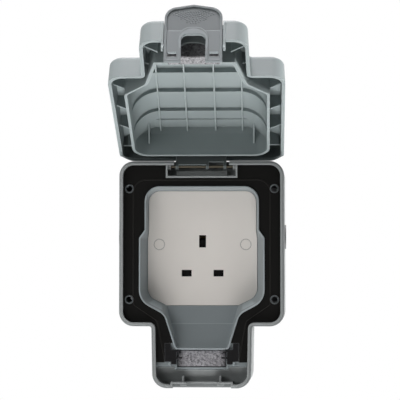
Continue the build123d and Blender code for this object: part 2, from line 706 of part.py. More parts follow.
# Lid: outer wall and shelf, dome with skirt, ribs, gussets, knuckles and the cheeks for the latch
with BuildPart() as lid:
    loft(sections=[outline(lid_plan(lid_rim), box_corners(0)),
                   outline(lid_plan(lid_edge), box_corners(lid_draft))], ruled=True)
    fillet(lid.faces().filter_by(lambda face: face.normal_at().dot(lid_plan(0).z_dir) > 0.99).edges(),
           lid_rounding)
    loft(sections=[outline(lid_plan(lid_rim), box_corners(lid_wall)),
                   outline(lid_plan(shelf), box_corners(lid_wall + lid_draft))],
         ruled=True, mode=Mode.SUBTRACT)
    # The top edge clears the box's rim as the lid swings
    with BuildSketch(box_side(-box_width)) as swing:
        with Locations((pin_z, pin_height)):
            Circle(hypot(box_depth - pin_height, box_top - pin_z) + swing_gap)
    extrude(amount=2 * box_width, mode=Mode.SUBTRACT)
    add(dome.part)
    # Gussets between the outer wall and the skirt, and one across each corner by the hinge
    gusset_root = shelf + lid_wall / 2
    for side in (-1, 1):
        for zs, outer, inner in ((gusset_zs, box_width / 2 - lid_wall / 2, skirt_corners[0][0] - skirt_wall),
                                 (neck_gusset_zs, neck_foot_width / 2 - lid_wall / 2,
                                  skirt_corners[-1][0] - skirt_wall)):
            for z in zs:
                extrude(polygon(lid_level(z), (side * outer, gusset_rise_outer),
                                (side * inner, gusset_rise_inner), (side * inner, gusset_root),
                                (side * outer, gusset_root)),
                        amount=gusset_thick)
        corner_x, corner_z, corner_round = skirt_corners[0]
        hub_x = corner_x - corner_round
        reach = (box_width / 2 - lid_wall / 2 - hub_x) / cos(radians(corner_gusset_angle))
        extrude(polygon(lid_corner(side * hub_x, corner_z - corner_round, corner_gusset_angle),
                        (reach, gusset_rise_outer), (corner_round - skirt_wall, gusset_rise_inner),
                        (corner_round - skirt_wall, gusset_root), (reach, gusset_root)),
                amount=gusset_thick)
    add(dome_space.part, mode=Mode.SUBTRACT)
    add(ceiling_ribs.part)
    # Knuckles: three arms round the pin and a web between them
    for left, right in knuckle_arms:
        extrude(panel(lid_side(left), (pin_z - knuckle_radius, pin_z + knuckle_radius),
                      (pin_height - box_depth, shelf + lid_wall / 2)), amount=right - left)
        with BuildSketch(lid_side(left)) as eye:
            with Locations((pin_z, pin_height - box_depth)):
                Circle(knuckle_radius)
        extrude(amount=right - left)
    for (left, _), (_, right), reach in ((knuckle_arms[0], knuckle_arms[1], web_reach_left),
                                         (knuckle_arms[1], knuckle_arms[2], web_reach_right)):
        extrude(panel(lid_side(left), (pin_z - knuckle_radius, pin_z - knuckle_radius + knuckle_web),
                      (-reach, shelf + lid_wall / 2)), amount=right - left)
    with BuildSketch(lid_side(-box_width)) as knuckle_bore:
        with Locations((pin_z, pin_height - box_depth)):
            Circle(pin_radius + pin_running_gap)
    extrude(amount=2 * box_width, mode=Mode.SUBTRACT)
    # Recess for the latch: cut the end wall away, then close it with an arched wall and two cheeks
    extrude(panel(lid_level(recess_z), (-cheek_inner_x, cheek_inner_x), (-lid_edge, 2 * lid_edge)),
            amount=recess_z - box_bottom + wall, mode=Mode.SUBTRACT)
    extrude(panel(lid_level(recess_wall_z), (-cheek_outer_x, cheek_outer_x),
                  (lid_rim, lid_edge - lid_wall / 2)),
            amount=dome_wall)
    extrude(outline(lid_level(recess_wall_z + wall),
                    [(lid_arch_half_width, lid_arch_top, lid_arch_radius),
                     (lid_arch_half_width, -lid_edge, 0)]),
            amount=2 * wall, mode=Mode.SUBTRACT)
    for side in (-1, 1):
        low = min(side * cheek_inner_x, side * cheek_outer_x)
        extrude(panel(lid_side(low), (box_bottom + latch_skin, recess_z),
                      (lid_rim, lid_edge - lid_rounding)), amount=cheek_outer_x - cheek_inner_x)
        extrude(panel(lid_side(low), (box_bottom + latch_skin, cheek_top_z), (-cheek_reach, lid_edge / 2)),
                amount=cheek_outer_x - cheek_inner_x)
    with BuildSketch(lid_side(-notch_half_width)) as pivot_bore:
        with Locations((pivot_z, pivot_out)):
            Circle(pivot_radius + pin_running_gap)
    extrude(amount=2 * notch_half_width, mode=Mode.SUBTRACT)
lid.part.label = "lid"

# Foam block behind the lid's arched wall
with BuildPart() as lid_foam:
    extrude(panel(lid_plan(-lid_foam_reach), (-lid_foam_half_width, lid_foam_half_width),
                  (recess_wall_z + fit_gap, lid_foam_top_z)),
            amount=shelf - fit_gap + lid_foam_reach)
lid_foam.part.label = "lid_foam"

# Latch: dished plate with a peaked grip, an arch for the lead, two hook slots and two pivots
latch_face_z = box_bottom + latch_skin
with BuildPart() as latch:
    grip = [(0, latch_apex, latch_apex_radius), (latch_half_width, latch_shoulder, latch_shoulder_radius),
            (latch_half_width, latch_foot, 0.8)]
    extrude(outline(lid_level(latch_face_z + latch_thick), grip), amount=latch_thick)
    arch_cut = [(latch_arch_half_width, latch_arch_top, latch_arch_radius),
                (latch_arch_half_width, 2 * latch_foot, 0)]
    extrude(outline(lid_level(latch_face_z + 2 * latch_thick), arch_cut), amount=4 * latch_thick,
            mode=Mode.SUBTRACT)
    # Dish in the outer face, above and below the crease
    dish_half = latch_half_width - latch_border
    extrude(outline(lid_level(latch_face_z + latch_dish),
                    [(0, latch_apex - latch_border, latch_apex_radius - latch_border),
                     (dish_half, latch_shoulder - latch_border, latch_shoulder_radius - latch_border),
                     (dish_half, latch_crease, 0)]),
            amount=latch_dish, mode=Mode.SUBTRACT)
    brow = [(latch_arch_half_width + latch_arch_rim, latch_arch_brow, latch_arch_half_width),
            (latch_arch_half_width + latch_arch_rim, 2 * latch_foot, 0)]
    with BuildSketch(lid_level(latch_face_z + latch_dish / 2)) as lower_dish:
        add(outline(Plane.XY, [(dish_half, latch_crease, 0), (dish_half, latch_foot + latch_border, 0.8)]))
        add(outline(Plane.XY, brow), mode=Mode.SUBTRACT)
    extrude(amount=latch_dish / 2, mode=Mode.SUBTRACT)
    with BuildSketch(lid_level(latch_face_z + latch_dish)) as brow_shape:
        add(outline(Plane.XY, brow))
        add(outline(Plane.XY, arch_cut), mode=Mode.SUBTRACT)
        add(panel(Plane.XY, (-box_width, box_width), (latch_foot, 4 * latch_foot)), mode=Mode.SUBTRACT)
    extrude(amount=latch_dish)
    with BuildSketch(lid_level(latch_face_z + 2 * latch_thick)) as hook_slots:
        with GridLocations(2 * catch_x, 1, 2, 1):
            with Locations((0, catch_out)):
                Rectangle(slot_width, slot_height)
    extrude(amount=4 * latch_thick, mode=Mode.SUBTRACT)
    for side in (-1, 1):
        with BuildSketch(lid_side(side * (latch_half_width - latch_border))) as pivot:
            with Locations((pivot_z, pivot_out)):
                Circle(pivot_radius)
        extrude(amount=side * (cheek_outer_x - fit_gap - latch_half_width + latch_border))
latch.part.label = "latch"

# Socket plate
with BuildPart() as socket_plate:
    plate_foot_z = chute_top_z + fit_gap
    extrude(outline(box_plan(ledge_height), well_corners(plate_height, fit_gap)), amount=plate_thickness)
    extrude(panel(box_plan(ledge_height), (-box_width, box_width), (plate_foot_z, 2 * box_bottom)),
            amount=plate_thickness, mode=Mode.SUBTRACT)
    with BuildSketch(box_plan(ledge_height)) as apertures:
        with Locations((0, earth_z)):
            Rectangle(*earth_aperture)
        with Locations((-line_x, line_z), (line_x, line_z)):
            Rectangle(*line_aperture)
    extrude(amount=plate_thickness, mode=Mode.SUBTRACT)
    with BuildSketch(box_plan(plate_height)) as cap_recesses:
        with GridLocations(plate_pitch, 1, 2, 1):
            Circle(cap_radius + cap_gap)
    extrude(amount=screw_seat - plate_thickness, mode=Mode.SUBTRACT)
    with BuildSketch(box_plan(plate_height)) as plate_holes:
        with GridLocations(plate_pitch, 1, 2, 1):
            Circle(insert_bore)
    extrude(amount=-plate_thickness, mode=Mode.SUBTRACT)
    with BuildSketch(box_plan(ledge_height)) as body_screw_bores:
        with GridLocations(2 * body_screw_x, 1, 2, 1):
            with Locations((0, body_screw_z)):
                Circle(body_screw_radius + cap_gap)
    extrude(amount=body_screw_bite + fit_gap, mode=Mode.SUBTRACT)
socket_plate.part.label = "socket_plate"

# Screws and caps of the plate, with the inserts that they turn into
seat_height = ledge_height + screw_seat
with BuildPart() as plate_screws:
    with BuildSketch(box_plan(seat_height)) as heads:
        with GridLocations(plate_pitch, 1, 2, 1):
            Circle(screw_head_radius)
    extrude(amount=screw_head_height)
    with BuildSketch(box_plan(screw_tip_height)) as shanks:
        with GridLocations(plate_pitch, 1, 2, 1):
            Circle(screw_radius)
    extrude(amount=seat_height - screw_tip_height)
    with BuildSketch(box_plan(seat_height + screw_head_height)) as head_slots:
        with GridLocations(plate_pitch, 1, 2, 1):
            Rectangle(2 * screw_head_radius, screw_slot)
    extrude(amount=-screw_head_height / 2, mode=Mode.SUBTRACT)
plate_screws.part.label = "plate_screws"

with BuildPart() as screw_caps:
    with BuildSketch(box_plan(plate_height)) as caps:
        with GridLocations(plate_pitch, 1, 2, 1):
            Circle(cap_radius)
    extrude(amount=-cap_thick)
screw_caps.part.label = "screw_caps"

with BuildPart() as screw_inserts:
    with BuildSketch(box_plan(ledge_bottom - fit_gap)) as inserts:
        with GridLocations(plate_pitch, 1, 2, 1):
            Circle(insert_radius - pin_press_gap)
            Circle(insert_bore, mode=Mode.SUBTRACT)
    extrude(amount=2 * fit_gap - insert_length)
screw_inserts.part.label = "screw_inserts"

# Socket body: housing behind the plate with the shutter's track and the contact pockets
track_height = ledge_height - shutter_thick - 2 * slide_gap
terminal_width, terminal_tall = terminal_half
contact_places = [(0, earth_z), (line_x, line_z), (-line_x, line_z)]
contact_reach = contact_gap / 2 + contact_strip
contact_mouth_height = track_height - contact_mouth_gap
with BuildPart() as socket_body:
    extrude(outline(box_plan(body_back_height), [(body_half_width, body_top_z, body_rounding),
                                                 (body_half_width, body_foot_z, body_rounding)]),
            amount=ledge_height - body_back_height)
    fillet(socket_body.faces().sort_by(Axis.Y)[-1].edges(), 1.0)
    extrude(panel(box_plan(track_height), (-shutter_half_width - slide_gap, shutter_half_width + slide_gap),
                  (shutter_bar_foot - shutter_travel - slide_gap, shutter_bar_top + slide_gap)),
            amount=ledge_height - track_height, mode=Mode.SUBTRACT)
    extrude(panel(box_plan(track_height), (-shutter_stem_half - slide_gap, shutter_stem_half + slide_gap),
                  (shutter_bar_foot, shutter_top_z + slide_gap)),
            amount=ledge_height - track_height, mode=Mode.SUBTRACT)
    spring_half = spring_radius + spring_wire + slide_gap
    extrude(panel(box_plan(track_height), (-spring_half, spring_half),
                  (spring_foot_z - spring_wire - fit_gap, shutter_bar_foot)),
            amount=ledge_height - track_height, mode=Mode.SUBTRACT)
    for x, z in contact_places:
        half = max(contact_half_width, terminal_width) + fit_gap
        tall = max(contact_reach, terminal_tall) + fit_gap
        extrude(panel(box_plan(body_back_height), (x - half, x + half), (z - tall, z + tall)),
                amount=track_height - body_back_height, mode=Mode.SUBTRACT)
    with BuildSketch(box_plan(body_back_height)) as body_bores:
        with GridLocations(2 * body_screw_x, 1, 2, 1):
            with Locations((0, body_screw_z)):
                Circle(body_screw_radius + cap_gap)
    extrude(amount=ledge_height - body_back_height, mode=Mode.SUBTRACT)
socket_body.part.label = "socket_body"

with BuildPart() as body_screws:
    with BuildSketch(box_plan(body_back_height)) as body_heads:
        with GridLocations(2 * body_screw_x, 1, 2, 1):
            with Locations((0, body_screw_z)):
                Circle(body_screw_head)
    extrude(amount=-screw_head_height)
    with BuildSketch(box_plan(body_back_height)) as body_shanks:
        with GridLocations(2 * body_screw_x, 1, 2, 1):
            with Locations((0, body_screw_z)):
                Circle(body_screw_radius)
    extrude(amount=ledge_height - body_back_height + body_screw_bite)
    with BuildSketch(box_plan(body_back_height - screw_head_height)) as body_slots:
        with GridLocations(2 * body_screw_x, 1, 2, 1):
            with Locations((0, body_screw_z)):
                Rectangle(2 * body_screw_head, screw_slot)
    extrude(amount=screw_head_height / 2, mode=Mode.SUBTRACT)
body_screws.part.label = "body_screws"


def contact(x, z, plane, middle):
    """Brass contact: two leaves that grip a pin, bent from a base, with a terminal block behind."""
    inner = contact_gap / 2
    bend_height = contact_base_height + contact_strip
    with BuildPart() as piece:
        extrude(panel(plane, (middle - contact_reach, middle + contact_reach),
                      (contact_base_height, contact_mouth_height)),
                amount=2 * contact_half_width)
        extrude(panel(plane, (middle - inner, middle + inner), (bend_height, contact_mouth_height)),
                amount=2 * contact_half_width, mode=Mode.SUBTRACT)
        extrude(panel(box_plan(terminal_back_height), (x - terminal_width, x + terminal_width),
                      (z - terminal_tall, z + terminal_tall)),
                amount=contact_base_height - terminal_back_height)
        with BuildSketch(box_level(z + terminal_tall)) as wire_hole:
            with Locations((x, wire_hole_height)):
                Circle(wire_hole_radius)
        extrude(amount=2 * terminal_tall, mode=Mode.SUBTRACT)
        with BuildSketch(box_plan(terminal_back_height)) as clamp_hole:
            with Locations((x, z)):
                Circle(terminal_screw_radius + cap_gap)
        extrude(amount=wire_hole_height - terminal_back_height, mode=Mode.SUBTRACT)
    return piece.part


earth_contact = contact(0, earth_z, box_level(earth_z + contact_half_width), 0)
line_contact = contact(line_x, line_z, box_side(line_x - contact_half_width), line_z)
neutral_contact = contact(-line_x, line_z, box_side(-line_x - contact_half_width), line_z)
earth_contact.label = "earth_contact"
line_contact.label = "line_contact"
neutral_contact.label = "neutral_contact"

with BuildPart() as terminal_screws:
    for x, z in contact_places:
        with BuildSketch(box_plan(terminal_back_height)) as clamp_heads:
            with Locations((x, z)):
                Circle(terminal_screw_head)
        extrude(amount=-terminal_head_height)
        with BuildSketch(box_plan(terminal_back_height)) as clamp_shanks:
            with Locations((x, z)):
                Circle(terminal_screw_radius)
        extrude(amount=wire_hole_height - wire_hole_radius - terminal_back_height + cap_gap)
        extrude(panel(box_plan(terminal_back_height - terminal_head_height),
                      (x - terminal_screw_head, x + terminal_screw_head),
                      (z - screw_slot / 2, z + screw_slot / 2)),
                amount=terminal_head_height / 2, mode=Mode.SUBTRACT)
terminal_screws.part.label = "terminal_screws"

# Shutter: bar across the line and neutral apertures, with a stem and window behind the earth aperture
with BuildPart() as shutter:
    shutter_back = track_height + slide_gap
    extrude(panel(box_plan(shutter_back), (-shutter_half_width, shutter_half_width),
                  (shutter_bar_foot, shutter_bar_top)), amount=shutter_thick)
    extrude(panel(box_plan(shutter_back), (-shutter_stem_half, shutter_stem_half),
                  (shutter_bar_top, shutter_top_z)), amount=shutter_thick)
    extrude(panel(box_plan(shutter_back), (-shutter_window_half, shutter_window_half), shutter_window),
            amount=shutter_thick, mode=Mode.SUBTRACT)
    ramp_edge = shutter.edges().filter_by(Axis.X).group_by(Axis.Y)[0].sort_by(
        lambda edge: abs(edge.center().Z - shutter_window[0]))[0]
    chamfer(ramp_edge, shutter_ramp)
shutter.part.label = "shutter"

# Return spring under the shutter's bar
spring_height = track_height + slide_gap + shutter_thick / 2
with BuildPart() as shutter_spring:
    spring_length = shutter_bar_foot - 2 * spring_wire - spring_foot_z
    with BuildLine(Plane(origin=(0, -spring_height, spring_foot_z))) as coil:
        Helix(pitch=spring_length / spring_turns, height=spring_length, radius=spring_radius)
    with BuildSketch(Plane(origin=coil.line @ 0, z_dir=coil.line % 0)):
        Circle(spring_wire)
    sweep(path=coil.line)
shutter_spring.part.label = "shutter_spring"


def entry_plug(side):
    """Blanking plug with a flat head and a hollow shank."""
    head_plane = Plane(origin=(side * (entry_pad_x + seal_thick), -entry_height, entry_z), z_dir=(side, 0, 0))
    with BuildPart() as plug:
        with BuildSketch(head_plane):
            Circle(plug_head_radius)
        extrude(amount=plug_head)
        with BuildSketch(head_plane):
            Circle(entry_radius - fit_gap)
            Circle(entry_radius - fit_gap - plug_wall, mode=Mode.SUBTRACT)
        extrude(amount=-plug_reach)
        with BuildSketch(head_plane.offset(plug_head)):
            Rectangle(plug_head_radius, plug_slot)
        extrude(amount=-plug_slot_depth, mode=Mode.SUBTRACT)
    return plug.part


entry_plug_left = entry_plug(-1)
entry_plug_left.label = "entry_plug_left"
entry_plug_right = entry_plug(1)
entry_plug_right.label = "entry_plug_right"

with BuildPart() as entry_seals:
    for side in (-1, 1):
        with BuildSketch(Plane(origin=(side * entry_pad_x, -entry_height, entry_z), z_dir=(side, 0, 0))):
            Circle(plug_head_radius)
            Circle(entry_radius, mode=Mode.SUBTRACT)
        extrude(amount=seal_thick)
entry_seals.part.label = "entry_seals"

os.makedirs("parts", exist_ok=True)
export_step(back_box.part, "parts/back_box.step")
export_step(front_frame.part, "parts/front_frame.step")
export_step(gasket.part, "parts/gasket.step")
export_step(base_foam.part, "parts/base_foam.step")
export_step(foam_holder_left, "parts/foam_holder_left.step")
export_step(foam_holder_right, "parts/foam_holder_right.step")
export_step(hinge_pin.part, "parts/hinge_pin.step")
export_step(lid.part, "parts/lid.step")
export_step(lid_foam.part, "parts/lid_foam.step")
export_step(latch.part, "parts/latch.step")
export_step(socket_plate.part, "parts/socket_plate.step")
export_step(plate_screws.part, "parts/plate_screws.step")
export_step(screw_caps.part, "parts/screw_caps.step")
export_step(screw_inserts.part, "parts/screw_inserts.step")
export_step(socket_body.part, "parts/socket_body.step")
export_step(body_screws.part, "parts/body_screws.step")
export_step(earth_contact, "parts/earth_contact.step")
export_step(line_contact, "parts/line_contact.step")
export_step(neutral_contact, "parts/neutral_contact.step")
export_step(terminal_screws.part, "parts/terminal_screws.step")
export_step(shutter.part, "parts/shutter.step")
export_step(shutter_spring.part, "parts/shutter_spring.step")
export_step(entry_plug_left, "parts/entry_plug_left.step")
export_step(entry_plug_right, "parts/entry_plug_right.step")
export_step(entry_seals.part, "parts/entry_seals.step")
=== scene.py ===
import bmesh
import bpy
import json
from math import cos, radians, sin
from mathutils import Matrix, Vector, noise


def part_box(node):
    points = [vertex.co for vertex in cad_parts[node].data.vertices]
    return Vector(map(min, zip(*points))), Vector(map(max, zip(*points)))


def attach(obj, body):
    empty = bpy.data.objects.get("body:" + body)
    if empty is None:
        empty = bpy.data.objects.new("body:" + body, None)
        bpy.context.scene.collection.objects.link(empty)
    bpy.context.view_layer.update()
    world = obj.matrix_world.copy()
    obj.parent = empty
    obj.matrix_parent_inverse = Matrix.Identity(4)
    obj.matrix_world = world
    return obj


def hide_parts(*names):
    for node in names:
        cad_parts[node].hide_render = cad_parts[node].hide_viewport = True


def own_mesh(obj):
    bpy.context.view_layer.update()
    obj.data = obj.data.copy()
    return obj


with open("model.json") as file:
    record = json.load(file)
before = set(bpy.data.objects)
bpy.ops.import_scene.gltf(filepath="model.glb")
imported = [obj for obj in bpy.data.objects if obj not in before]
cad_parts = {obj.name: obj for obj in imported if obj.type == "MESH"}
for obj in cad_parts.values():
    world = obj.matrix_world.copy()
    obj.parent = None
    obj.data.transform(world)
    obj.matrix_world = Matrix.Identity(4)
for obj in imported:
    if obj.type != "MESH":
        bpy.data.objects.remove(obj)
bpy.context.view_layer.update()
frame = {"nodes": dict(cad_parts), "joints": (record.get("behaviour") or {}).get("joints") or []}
nodes = frame["nodes"]
joints = {joint["name"]: joint for joint in frame["joints"]}
scene = bpy.context.scene
MM = 0.001

# The box's directions, and the open lid's own: along it towards the hinge, and out of its domed side
ACROSS = Vector((1, 0, 0))
DEPTH = Vector((0, 1, 0))
UP = Vector((0, 0, 1))
PIN = Vector(joints["lid_hinge"]["pos_m"])
OPEN = radians(joints["lid_hinge"]["range_deg"][1])
ALONG = Vector((0, sin(OPEN), cos(OPEN)))
OUT = Vector((0, -cos(OPEN), sin(OPEN)))
RIM_TO_PIN = PIN.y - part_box("back_box")[0].y

# The photograph's view: a long lens a little below and to the right of the box
CAMERA_PLACE = Vector((44.1, -1175.7, -19.5)) * MM
CAMERA_AIM = Vector((-1.04, -50.0, 30.2)) * MM
CAMERA_LENS = 147.75
CAMERA_SENSOR = 36.0
CAMERA_NEAR = 0.01
CAMERA_FAR = 80.0


def set_up(thing, place, aim):
    """Puts a camera or a lamp at a place, turned to a point."""
    thing.location = place
    thing.rotation_mode = "QUATERNION"
    thing.rotation_quaternion = (aim - place).to_track_quat("-Z", "Y")
    scene.collection.objects.link(thing)


def place_camera():
    data = bpy.data.cameras.new("photo_camera")
    data.lens = CAMERA_LENS
    data.sensor_width = CAMERA_SENSOR
    data.clip_start = CAMERA_NEAR
    data.clip_end = CAMERA_FAR
    camera = bpy.data.objects.new("photo_camera", data)
    set_up(camera, CAMERA_PLACE, CAMERA_AIM)
    scene.camera = camera


LAMP_AIM = Vector((0.0, -0.08, 0.04))
WHITE = (1.0, 1.0, 1.0)
TOP_TINT = (1.0, 0.94, 0.96)
# Each lamp's name, place, side, watts and tint
LAMPS = (
    ("under_bank", (0.0, -0.02, -1.40), 0.6, 21.0, WHITE),
    ("low_bank", (0.0, -0.30, -1.30), 0.9, 5.5, WHITE),
    ("front_low_bank", (0.0, -0.75, -1.15), 0.9, 8.8, WHITE),
    ("top_bank", (0.0, -0.25, 1.60), 1.0, 40.0, TOP_TINT),
    ("right_bank", (1.45, 0.26, 0.10), 0.6, 26.0, WHITE),
    ("right_high_bank", (1.20, -0.60, 0.75), 0.9, 2.7, WHITE),
    ("left_high_bank", (-1.20, -0.60, 0.75), 0.9, 7.7, WHITE),
    ("front_left_bank", (-0.85, -1.30, 0.10), 0.6, 3.5, WHITE),
)


def hang_lamps():
    for name, place, side, watts, tint in LAMPS:
        data = bpy.data.lights.new(name, "AREA")
        data.color = tint
        data.shape = "SQUARE"
        data.size = side
        data.energy = watts
        lamp = bpy.data.objects.new(name, data)
        lamp.visible_camera = False
        set_up(lamp, Vector(place), LAMP_AIM)


def math_node(tree, operation, first, second=None, clamp=False):
    node = tree.nodes.new("ShaderNodeMath")
    node.operation = operation
    node.use_clamp = clamp
    for socket, value in zip(node.inputs, (first, second)):
        if value is None:
            continue
        if isinstance(value, (int, float)):
            socket.default_value = value
        else:
            tree.links.new(value, socket)
    return node.outputs[0]


def product(tree, first, *others):
    for other in others:
        first = math_node(tree, "MULTIPLY", first, other)
    return first


def reach_of(tree, first, second):
    """Distance over two ways at right angles."""
    squares = [math_node(tree, "MULTIPLY", way, way) for way in (first, second)]
    return math_node(tree, "SQRT", math_node(tree, "ADD", *squares))


def blended(tree, first, second, share):
    """A share of one value and the rest of another."""
    return math_node(tree, "ADD", math_node(tree, "MULTIPLY", first, share),
                     math_node(tree, "MULTIPLY", second, 1 - share))


def map_range(tree, value, low, high):
    node = tree.nodes.new("ShaderNodeMapRange")
    node.inputs["To Min"].default_value = low
    node.inputs["To Max"].default_value = high
    tree.links.new(value, node.inputs["Value"])
    return node.outputs[0]


def fade(tree, value, full, none):
    """1 where a value is at its full end, easing to 0 at the other."""
    node = tree.nodes.new("ShaderNodeMapRange")
    node.interpolation_type = "SMOOTHSTEP"
    node.inputs["From Min"].default_value = full
    node.inputs["From Max"].default_value = none
    node.inputs["To Min"].default_value = 1.0
    node.inputs["To Max"].default_value = 0.0
    tree.links.new(value, node.inputs["Value"])
    return node.outputs[0]


def object_place(tree):
    return tree.nodes.new("ShaderNodeTexCoord").outputs["Object"]


def seen_directly(tree):
    """1 for rays that show the background itself: straight from the camera, mirrored or through glass."""
    path = tree.nodes.new("ShaderNodeLightPath")
    total = path.outputs["Is Camera Ray"]
    for name in ("Is Glossy Ray", "Is Transmission Ray"):
        total = math_node(tree, "MAXIMUM", total, path.outputs[name])
    return total


def show_mixed(tree, output, factor, first, second):
    """Sends two shaders, mixed by a factor, to an output of the tree."""
    mix = tree.nodes.new("ShaderNodeMixShader")
    tree.links.new(factor, mix.inputs["Fac"])
    tree.links.new(first.outputs[0], mix.inputs[1])
    tree.links.new(second.outputs[0], mix.inputs[2])
    tree.links.new(mix.outputs[0], tree.nodes.new(output).inputs["Surface"])


AMBIENT = 0.03


def light_world():
    """White background that gives the object only a faint light."""
    world = bpy.data.worlds.new("white_studio")
    scene.world = world
    world.use_nodes = True
    tree = world.node_tree
    tree.nodes.clear()
    lights = []
    for strength in (AMBIENT, 1.0):
        light = tree.nodes.new("ShaderNodeBackground")
        light.inputs["Color"].default_value = (*WHITE, 1)
        light.inputs["Strength"].default_value = strength
        lights.append(light)
    show_mixed(tree, "ShaderNodeOutputWorld", seen_directly(tree), *lights)


FLOOR_HEIGHT = -1.4
FLOOR_HALF = 14.0
FLOOR_GREY = (0.7, 0.7, 0.7)
FLOOR_GLOW = 0.9
FLOOR_FADE = (1.5, 4.0)
WALL_SHADE_GREY = (0.1, 0.1, 0.1)
WALL_SHARE = 0.9
WALL_FOOT_SHARE = 0.5
WALL_GAP = 0.2 * MM


def stage_sheet(name, corners):
    """Flat sheet of the studio, with an empty material."""
    mesh = bpy.data.meshes.new(name)
    mesh.from_pydata(corners, [], [(0, 1, 2, 3)])
    sheet = bpy.data.objects.new(name, mesh)
    scene.collection.objects.link(sheet)
    material = bpy.data.materials.new(name)
    material.use_nodes = True
    material.node_tree.nodes.clear()
    mesh.materials.append(material)
    return sheet, material.node_tree


def matt_shader(tree, colour):
    matt = tree.nodes.new("ShaderNodeBsdfDiffuse")
    matt.inputs["Color"].default_value = (*colour, 1)
    return matt


def near_middle(tree):
    """1 under the object, easing to 0 where the floor runs into the white background."""
    reach = tree.nodes.new("ShaderNodeVectorMath")
    reach.operation = "LENGTH"
    tree.links.new(object_place(tree), reach.inputs[0])
    return fade(tree, reach.outputs["Value"], *FLOOR_FADE)


def lay_floor():
    corners = [(x * FLOOR_HALF, y * FLOOR_HALF, FLOOR_HEIGHT)
               for x, y in ((-1, -1), (1, -1), (1, 1), (-1, 1))]
    floor, tree = stage_sheet("pale_floor", corners)
    matt = matt_shader(tree, FLOOR_GREY)
    glow = tree.nodes.new("ShaderNodeEmission")
    tree.links.new(map_range(tree, near_middle(tree), 1.0, FLOOR_GLOW), glow.inputs["Strength"])
    both = tree.nodes.new("ShaderNodeAddShader")
    tree.links.new(matt.outputs[0], both.inputs[0])
    tree.links.new(glow.outputs[0], both.inputs[1])
    show_mixed(tree, "ShaderNodeOutputMaterial", seen_directly(tree), matt, both)


def back_with_wall():
    """Dark patch of wall behind the box, seen only from the front: painted shade at the end of the fixing
    holes.
    """
    low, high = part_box("back_box")
    left, right = low.x * WALL_SHARE, high.x * WALL_SHARE
    foot, head = low.z * WALL_FOOT_SHARE, high.z * WALL_SHARE
    back = high.y + WALL_GAP
    patch, tree = stage_sheet("wall_patch", [(left, back, foot), (right, back, foot), (right, back, head),
                                             (left, back, head)])
    matt = matt_shader(tree, WALL_SHADE_GREY)
    clear = tree.nodes.new("ShaderNodeBsdfTransparent")
    front = math_node(tree, "SUBTRACT", 1.0, tree.nodes.new("ShaderNodeNewGeometry").outputs["Backfacing"])
    show_mixed(tree, "ShaderNodeOutputMaterial", product(tree, front, seen_directly(tree)), clear, matt)


def new_group(name, inputs, outputs):
    """Empty shader group; inputs are (name, socket type, default)."""
    group = bpy.data.node_groups.new(name, "ShaderNodeTree")
    for label, kind, value in inputs:
        socket = group.interface.new_socket(name=label, in_out="INPUT", socket_type=kind)
        socket.default_value = value
    for label, kind in outputs:
        group.interface.new_socket(name=label, in_out="OUTPUT", socket_type=kind)
    return group, group.nodes.new("NodeGroupInput"), group.nodes.new("NodeGroupOutput")


def noise_node(tree, vector, scale, detail):
    node = tree.nodes.new("ShaderNodeTexNoise")
    node.inputs["Detail"].default_value = detail
    if isinstance(scale, (int, float)):
        node.inputs["Scale"].default_value = scale
    else:
        tree.links.new(scale, node.inputs["Scale"])
    tree.links.new(vector, node.inputs["Vector"])
    return node.outputs["Fac"]


# Moulded plastic: grain and drift are in cells to the metre
GRAIN = 2600.0
DRIFT = 45.0
GRAIN_DETAIL = 3.0
DRIFT_DETAIL = 2.0
GRAIN_IN_TONE = 0.35
GRAIN_IN_GLOSS = 0.6
GRAIN_DEPTH = 0.2 * MM
EDGE = 0.5 * MM
EDGE_GAIN = 2.0
EDGE_SAMPLES = 8
BEVEL_SAMPLES = 4


def make_moulding_group():
    """Fine eroded grain and slow tone drift of a moulded surface, and a mask of its sharp outer edges."""
    group, given, out = new_group(
        "moulded_surface",
        [("Grain", "NodeSocketFloat", GRAIN), ("Drift", "NodeSocketFloat", DRIFT),
         ("Edge", "NodeSocketFloat", EDGE)],
        [("Height", "NodeSocketFloat"), ("Tone", "NodeSocketFloat"), ("Gloss", "NodeSocketFloat"),
         ("Edges", "NodeSocketFloat")])
    place = object_place(group)
    grain = noise_node(group, place, given.outputs["Grain"], GRAIN_DETAIL)
    drift = noise_node(group, place, given.outputs["Drift"], DRIFT_DETAIL)
    group.links.new(grain, out.inputs["Height"])
    group.links.new(blended(group, grain, drift, GRAIN_IN_TONE), out.inputs["Tone"])
    group.links.new(blended(group, grain, drift, GRAIN_IN_GLOSS), out.inputs["Gloss"])
    inside = group.nodes.new("ShaderNodeAmbientOcclusion")
    inside.inside = True
    inside.only_local = True
    inside.samples = EDGE_SAMPLES
    group.links.new(given.outputs["Edge"], inside.inputs["Distance"])
    thin = math_node(group, "SUBTRACT", 1.0, inside.outputs["AO"])
    group.links.new(math_node(group, "MULTIPLY", thin, EDGE_GAIN, clamp=True), out.inputs["Edges"])
    return group


MOULDING = make_moulding_group()


def mix_colour(tree, factor, first, second):
    node = tree.nodes.new("ShaderNodeMix")
    node.data_type = "RGBA"
    tree.links.new(factor, node.inputs["Factor"])
    for socket, value in ((node.inputs[6], first), (node.inputs[7], second)):
        if isinstance(value, tuple):
            socket.default_value = (*value, 1.0)
        else:
            tree.links.new(value, socket)
    return node.outputs[2]


def new_material(name):
    material = bpy.data.materials.new(name)
    material.use_nodes = True
    tree = material.node_tree
    return material, tree, tree.nodes["Principled BSDF"]


def scaled(colour, amount):
    return tuple(min(1.0, channel * amount) for channel in colour)


def bump_node(tree, height, strength, distance):
    bump = tree.nodes.new("ShaderNodeBump")
    bump.inputs["Strength"].default_value = strength
    bump.inputs["Distance"].default_value = distance
    tree.links.new(height, bump.inputs["Height"])
    return bump


